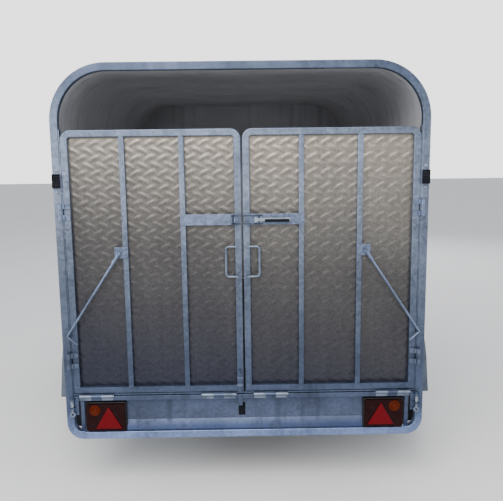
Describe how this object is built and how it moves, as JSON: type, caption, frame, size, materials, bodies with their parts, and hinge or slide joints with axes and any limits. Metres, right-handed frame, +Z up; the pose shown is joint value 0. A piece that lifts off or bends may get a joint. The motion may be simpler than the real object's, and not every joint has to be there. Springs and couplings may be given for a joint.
{
  "type": "livestock trailer",
  "caption": "Closed galvanised box trailer for live animals, twin axle, with a drop-down rear ramp that carries side-hinged gate leaves, drawbar, ball coupling and jockey wheel.",
  "frame": {"origin": "on the ground, under the centre of the overall box", "axes": "+Y forward towards the towing vehicle, +X to the right as seen from behind, +Z up"},
  "size_m": [2.37, 4.276, 2.255],
  "materials": {
    "galvanised_steel": "hot-dip galvanised, spangled",
    "zinc_sheet": "embossed, half bright",
    "bright_zinc": "zinc plated",
    "tyre_rubber": "matt",
    "black_rubber": "matt",
    "red_lens": "gloss",
    "amber_lens": "gloss",
    "lamp_black": "matt",
    "wheel_paint": "silver paint",
    "deck_ply": "phenolic-faced plywood",
    "cast_black": "black paint"
  },
  "bodies": {
    "trailer": {"axle_beams": "galvanised_steel", "body_hoops": "galvanised_steel", "bolt_brackets": "galvanised_steel", "bolt_springs": "bright_zinc", "buffers_and_flaps": "black_rubber", "bumper_tube": "galvanised_steel", "chassis_frame": "galvanised_steel", "coupling_head": "cast_black", "drawbar_tubes": "galvanised_steel", "floor_board": "deck_ply", "front_panel": "zinc_sheet", "gaiter": "black_rubber", "jockey_clamp": "galvanised_steel", "jockey_tube": "galvanised_steel", "lamp_housings": "lamp_black", "lamp_lenses_amber": "amber_lens", "lamp_lenses_red": "red_lens", "mudguards": "galvanised_steel", "overrun_housing": "cast_black", "post_screws": "bright_zinc", "rear_arch": "galvanised_steel", "rear_posts": "galvanised_steel", "roof_shell": "zinc_sheet", "side_panels": "zinc_sheet", "sill_beam": "galvanised_steel", "sill_hinge_leaves": "galvanised_steel", "sill_hinge_pins": "bright_zinc", "sill_panel": "galvanised_steel", "stay_keepers": "galvanised_steel", "vent_bars": "galvanised_steel"},
    "ramp": {"ramp_carrier": "galvanised_steel"},
    "left_gate": {"left_leaf_frame": "galvanised_steel", "left_leaf_sheet": "zinc_sheet", "left_leaf_fittings": "galvanised_steel", "left_handle": "galvanised_steel"},
    "right_gate": {"right_leaf_frame": "galvanised_steel", "right_leaf_sheet": "zinc_sheet", "right_leaf_fittings": "galvanised_steel", "right_handle": "galvanised_steel"},
    "left_stay_rod": {"left_stay": "bright_zinc"},
    "right_stay_rod": {"right_stay": "bright_zinc"},
    "latch_arm": {"latch_lever": "bright_zinc"},
    "latch_link": {"latch_loop": "bright_zinc"},
    "gate_bolt": {"drop_bolt": "bright_zinc"},
    "left_corner_bolt": {"left_spring_bolt": "bright_zinc"},
    "right_corner_bolt": {"right_spring_bolt": "bright_zinc"},
    "jockey_inner": {"jockey_leg": "galvanised_steel"},
    "jockey_handle": {"jockey_crank": "bright_zinc"},
    "jockey_swivel": {"jockey_fork": "galvanised_steel"},
    "jockey_roller": {"jockey_wheel": "tyre_rubber"},
    "coupling_lever": {"coupling_handle": "cast_black"},
    "brake_lever": {"handbrake_lever": "cast_black"},
    "rear_left_road_wheel": {"rear_left_wheel": "wheel_paint", "rear_left_tyre": "tyre_rubber"},
    "rear_right_road_wheel": {"rear_right_wheel": "wheel_paint", "rear_right_tyre": "tyre_rubber"},
    "front_left_road_wheel": {"front_left_wheel": "wheel_paint", "front_left_tyre": "tyre_rubber"},
    "front_right_road_wheel": {"front_right_wheel": "wheel_paint", "front_right_tyre": "tyre_rubber"}
  },
  "joints": [
    {"name": "ramp_fold", "type": "hinge", "parent": "trailer", "child": "ramp", "pos_m": [0, -2.115, 0.543], "axis": [1, 0, 0], "range_deg": [0, 112]},
    {"name": "left_gate_swing", "type": "hinge", "parent": "ramp", "child": "left_gate", "pos_m": [-0.917, -2.121, 0.739], "axis": [0, 0, -1], "range_deg": [0, 180]},
    {"name": "left_stay_swing", "type": "hinge", "parent": "left_gate", "child": "left_stay_rod", "pos_m": [-0.629, -2.125, 1.31], "axis": [0, -1, 0], "range_deg": [0, 33]},
    {"name": "left_bolt_pull", "type": "slide", "parent": "trailer", "child": "left_corner_bolt", "axis": [0, 0, 1], "range_m": [-0.02, 0], "stiffness_N_per_m": 400, "springref_m": 0.02, "deforming": ["bolt_springs"]},
    {"name": "right_gate_swing", "type": "hinge", "parent": "ramp", "child": "right_gate", "pos_m": [0.917, -2.121, 0.739], "axis": [0, 0, 1], "range_deg": [0, 180]},
    {"name": "right_stay_swing", "type": "hinge", "parent": "right_gate", "child": "right_stay_rod", "pos_m": [0.629, -2.125, 1.31], "axis": [0, 1, 0], "range_deg": [0, 33]},
    {"name": "right_bolt_pull", "type": "slide", "parent": "trailer", "child": "right_corner_bolt", "axis": [0, 0, 1], "range_m": [-0.02, 0], "stiffness_N_per_m": 400, "springref_m": 0.02, "deforming": ["bolt_springs"]},
    {"name": "latch_lever_swing", "type": "hinge", "parent": "right_gate", "child": "latch_arm", "pos_m": [0.07, -2.127, 1.474], "axis": [0, 0, -1], "range_deg": [0, 150]},
    {"name": "latch_loop_swing", "type": "hinge", "parent": "latch_arm", "child": "latch_link", "pos_m": [0.095, -2.127, 1.474], "axis": [0, 0, -1], "range_deg": [-150, 0]},
    {"name": "drop_bolt_lift", "type": "slide", "parent": "left_gate", "child": "gate_bolt", "axis": [0, 0, 1], "range_m": [0, 0.05]},
    {"name": "rear_left_wheel_spin", "type": "hinge", "parent": "trailer", "child": "rear_left_road_wheel", "pos_m": [-1.072, -1.045, 0.295], "axis": [1, 0, 0], "continuous": true},
    {"name": "rear_right_wheel_spin", "type": "hinge", "parent": "trailer", "child": "rear_right_road_wheel", "pos_m": [1.072, -1.045, 0.295], "axis": [1, 0, 0], "continuous": true},
    {"name": "front_left_wheel_spin", "type": "hinge", "parent": "trailer", "child": "front_left_road_wheel", "pos_m": [-1.072, -0.295, 0.295], "axis": [1, 0, 0], "continuous": true},
    {"name": "front_right_wheel_spin", "type": "hinge", "parent": "trailer", "child": "front_right_road_wheel", "pos_m": [1.072, -0.295, 0.295], "axis": [1, 0, 0], "continuous": true},
    {"name": "jockey_leg_wind", "type": "slide", "parent": "trailer", "child": "jockey_inner", "axis": [0, 0, 1], "range_m": [0, 0.14]},
    {"name": "jockey_crank_turn", "type": "hinge", "parent": "trailer", "child": "jockey_handle", "pos_m": [-0.205, 1.505, 0.83], "axis": [0, 0, 1], "range_deg": [0, 6301]},
    {"name": "jockey_fork_swivel", "type": "hinge", "parent": "jockey_inner", "child": "jockey_swivel", "pos_m": [-0.205, 1.505, 0.214], "axis": [0, 0, 1], "continuous": true},
    {"name": "jockey_wheel_spin", "type": "hinge", "parent": "jockey_swivel", "child": "jockey_roller", "pos_m": [-0.205, 1.471, 0.1], "axis": [1, 0, 0], "continuous": true},
    {"name": "coupling_handle_lift", "type": "hinge", "parent": "trailer", "child": "coupling_lever", "pos_m": [0, 2.033, 0.5213], "axis": [1, 0, 0], "range_deg": [0, 45]},
    {"name": "handbrake_pull", "type": "hinge", "parent": "trailer", "child": "brake_lever", "pos_m": [0.0675, 1.685, 0.5133], "axis": [-1, 0, 0], "range_deg": [0, 70]}
  ],
  "couplings": [
    {"joint": "latch_loop_swing", "follows": "latch_lever_swing", "ratio": -1},
    {"joint": "jockey_crank_turn", "follows": "jockey_leg_wind", "rad_per_m": 785.4}
  ]
}
